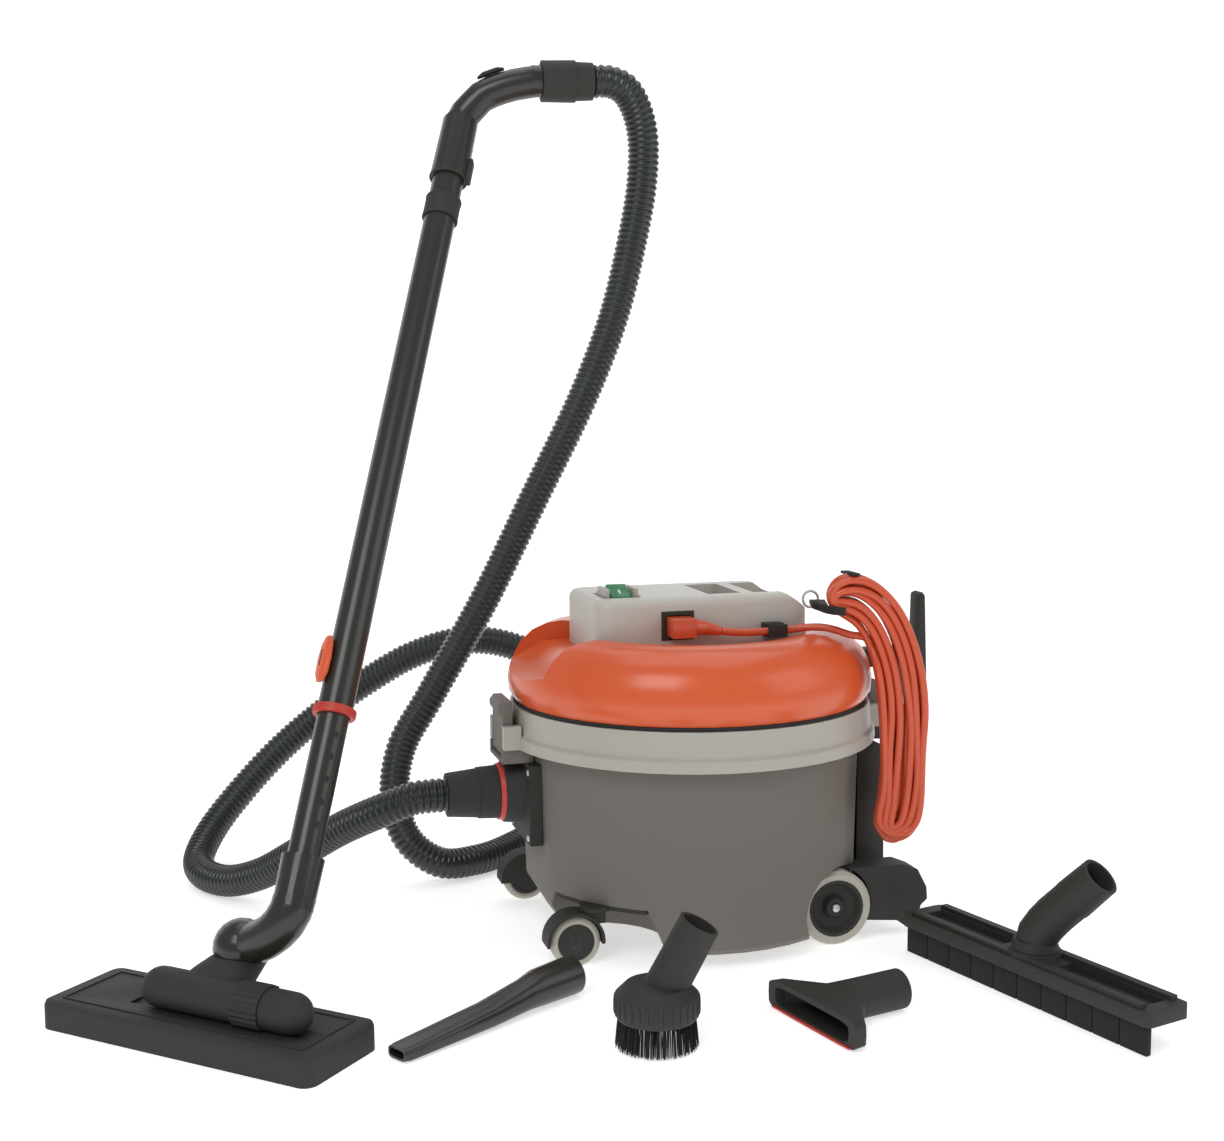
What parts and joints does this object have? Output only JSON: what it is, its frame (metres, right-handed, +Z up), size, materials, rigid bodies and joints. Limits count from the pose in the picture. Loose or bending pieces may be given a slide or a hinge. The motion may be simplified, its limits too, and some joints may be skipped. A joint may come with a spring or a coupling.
{
  "type": "canister vacuum cleaner",
  "caption": "Round tub vacuum cleaner with lift-off motor head, carry slots, wheels and casters, corrugated hose, telescopic wand, floor tool, loose tools and a hung cord hank",
  "frame": {"origin": "centre of the tub's flat underside, 15 mm above the floor the wheels and tools stand on", "axes": "+Z up, the canister's length along X with the hose inlet at -X and the cord hook at +X, the loose tools on the -Y side"},
  "size_m": [0.9513, 0.8701, 0.9193],
  "materials": {
    "taupe_plastic": "fine moulded texture",
    "grey_plastic": "satin",
    "console_plastic": "satin",
    "orange_plastic": "glossy moulded",
    "black_plastic": "satin, slightly olive",
    "tube_black": "glossy tube",
    "hose_plastic": "corrugated, glossy",
    "cord_jacket": "smooth flexible jacket",
    "red_plastic": "satin",
    "green_plastic": "glossy",
    "orange_button": "satin",
    "steel_bar": "drawn bar",
    "grey_tyre": "matt elastomer",
    "bag_paper": "filter paper",
    "bristle_fibre": "tufted fibre",
    "lint_fabric": "directional pile",
    "seal_rubber": "matt",
    "fan_alloy": "cast"
  },
  "bodies": {
    "canister": {"tub": "taupe_plastic", "inlet_socket": "black_plastic", "inlet_ring": "red_plastic", "rear_panel": "black_plastic", "skid_near": "black_plastic", "skid_far": "black_plastic", "rear_axle": "steel_bar", "caster_mount_near": "black_plastic", "caster_mount_far": "black_plastic", "dust_bag": "bag_paper", "hose": "hose_plastic", "upper_tube": "tube_black", "tube_collar": "black_plastic", "tube_ring": "red_plastic", "handle_tube": "tube_black"},
    "head": {"head_shell": "orange_plastic", "head_seal": "seal_rubber", "clamp_ring": "grey_plastic", "console": "console_plastic", "switch_bezel": "console_plastic", "power_socket": "black_plastic", "cord_connector": "cord_jacket", "cord_clip": "black_plastic", "wire_ring": "steel_bar", "cord_hook": "black_plastic", "hank_strap": "seal_rubber", "cord_lead": "cord_jacket", "cord_hank": "cord_jacket", "cord_plug": "cord_jacket", "motor_housing": "black_plastic"},
    "rocker": {"switch_rocker": "green_plastic"},
    "fan": {"impeller": "fan_alloy"},
    "latch_front": {"front_latch": "taupe_plastic"},
    "latch_rear": {"rear_latch": "taupe_plastic"},
    "wheel_near": {"wheel_tyre_near": "grey_tyre", "wheel_hub_near": "black_plastic"},
    "wheel_far": {"wheel_tyre_far": "grey_tyre", "wheel_hub_far": "black_plastic"},
    "fork_near": {"caster_fork_near": "black_plastic"},
    "fork_far": {"caster_fork_far": "black_plastic"},
    "roller_near": {"caster_wheel_near": "grey_tyre"},
    "roller_far": {"caster_wheel_far": "grey_tyre"},
    "inlet_end": {"inlet_cuff": "black_plastic"},
    "handle_end": {"handle_cuff": "black_plastic"},
    "slider": {"suction_slider": "black_plastic"},
    "wand_lower": {"lower_tube": "tube_black", "tool_neck": "tube_black"},
    "button": {"release_button": "orange_button"},
    "tool_yoke": {"tool_barrel": "black_plastic"},
    "tool_plate": {"tool_base": "black_plastic"},
    "selector": {"tool_selector": "black_plastic"},
    "brush_strip": {"tool_brush": "bristle_fibre"},
    "crevice": {"crevice_tool": "tube_black"},
    "dusting": {"dusting_brush": "black_plastic", "dusting_bristles": "bristle_fibre"},
    "upholstery": {"upholstery_tool": "black_plastic", "lint_strip": "lint_fabric"},
    "hard_floor": {"floor_brush": "black_plastic", "floor_bristles": "bristle_fibre"},
    "hard_floor_neck": {"floor_brush_neck": "black_plastic"}
  },
  "joints": [
    {"name": "head_lift", "type": "slide", "parent": "canister", "child": "head", "axis": [0, 0, 1], "range_m": [0, 0.15]},
    {"name": "rocker_press", "type": "hinge", "parent": "head", "child": "rocker", "pos_m": [0, -0.019, 0.335], "axis": [1, 0, 0], "range_deg": [-12, 0]},
    {"name": "fan_spin", "type": "hinge", "parent": "head", "child": "fan", "pos_m": [0, 0, 0.2], "axis": [0, 0, 1], "continuous": true},
    {"name": "front_latch_open", "type": "hinge", "parent": "canister", "child": "latch_front", "pos_m": [-0.203, 0, 0.182], "axis": [0, -1, 0], "range_deg": [0, 40]},
    {"name": "rear_latch_open", "type": "hinge", "parent": "canister", "child": "latch_rear", "pos_m": [0.203, 0, 0.182], "axis": [0, 1, 0], "range_deg": [0, 40]},
    {"name": "near_wheel_roll", "type": "hinge", "parent": "canister", "child": "wheel_near", "pos_m": [0.114, -0.123, 0.0235], "axis": [0, 1, 0], "continuous": true},
    {"name": "far_wheel_roll", "type": "hinge", "parent": "canister", "child": "wheel_far", "pos_m": [0.114, 0.123, 0.0235], "axis": [0, 1, 0], "continuous": true},
    {"name": "near_caster_swivel", "type": "hinge", "parent": "canister", "child": "fork_near", "pos_m": [-0.134, -0.112, 0.025], "axis": [0, 0, 1], "continuous": true},
    {"name": "far_caster_swivel", "type": "hinge", "parent": "canister", "child": "fork_far", "pos_m": [-0.134, 0.112, 0.025], "axis": [0, 0, 1], "continuous": true},
    {"name": "near_caster_roll", "type": "hinge", "parent": "fork_near", "child": "roller_near", "pos_m": [-0.156, -0.112, 0.01], "axis": [0, 1, 0], "continuous": true},
    {"name": "far_caster_roll", "type": "hinge", "parent": "fork_far", "child": "roller_far", "pos_m": [-0.156, 0.112, 0.01], "axis": [0, 1, 0], "continuous": true},
    {"name": "inlet_cuff_turn", "type": "hinge", "parent": "canister", "child": "inlet_end", "pos_m": [-0.23, 0, 0.137], "axis": [1, 0, 0], "continuous": true},
    {"name": "handle_cuff_turn", "type": "hinge", "parent": "canister", "child": "handle_end", "pos_m": [-0.1195, 0.1456, 0.8811], "axis": [0.9966, -0.0797, 0.0199], "continuous": true},
    {"name": "suction_slide", "type": "slide", "parent": "canister", "child": "slider", "axis": [0.9271, -0.1794, 0.329], "range_m": [-0.002, 0.002]},
    {"name": "wand_telescope", "type": "slide", "parent": "canister", "child": "wand_lower", "axis": [-0.268, -0.4389, -0.8576], "range_m": [-0.12, 0.28]},
    {"name": "button_slide", "type": "slide", "parent": "canister", "child": "button", "axis": [-0.268, -0.4389, -0.8576], "range_m": [0, 0.003], "stiffness_N_per_m": 400},
    {"name": "neck_swivel", "type": "hinge", "parent": "wand_lower", "child": "tool_yoke", "pos_m": [-0.47928, -0.18366, 0.06], "axis": [0.2034, 0.2205, 0.9539], "range_deg": [-60, 60]},
    {"name": "plate_tilt", "type": "hinge", "parent": "tool_yoke", "child": "tool_plate", "pos_m": [-0.49538, -0.22322, 0.027], "axis": [0.7349, -0.6782, 0], "range_deg": [-20, 20]},
    {"name": "selector_turn", "type": "hinge", "parent": "tool_yoke", "child": "selector", "pos_m": [-0.49538, -0.22322, 0.027], "axis": [0.7349, -0.6782, 0], "range_deg": [0, 40]},
    {"name": "brush_drop", "type": "slide", "parent": "tool_plate", "child": "brush_strip", "axis": [0, 0, -1], "range_m": [0, 0.005]},
    {"name": "crevice_lift", "type": "slide", "parent": "canister", "child": "crevice", "axis": [0, 0, 1], "range_m": [0, 0.15]},
    {"name": "dusting_lift", "type": "slide", "parent": "canister", "child": "dusting", "axis": [0, 0, 1], "range_m": [0, 0.15]},
    {"name": "upholstery_lift", "type": "slide", "parent": "canister", "child": "upholstery", "axis": [0, 0, 1], "range_m": [0, 0.15]},
    {"name": "hard_floor_lift", "type": "slide", "parent": "canister", "child": "hard_floor", "axis": [0, 0, 1], "range_m": [0, 0.15]},
    {"name": "hard_floor_neck_turn", "type": "hinge", "parent": "hard_floor", "child": "hard_floor_neck", "pos_m": [0.236, -0.314, 0.031], "axis": [0, 0, 1], "range_deg": [-60, 60]}
  ],
  "couplings": [
    {"joint": "brush_drop", "follows": "selector_turn", "m_per_rad": 0.00716}
  ]
}
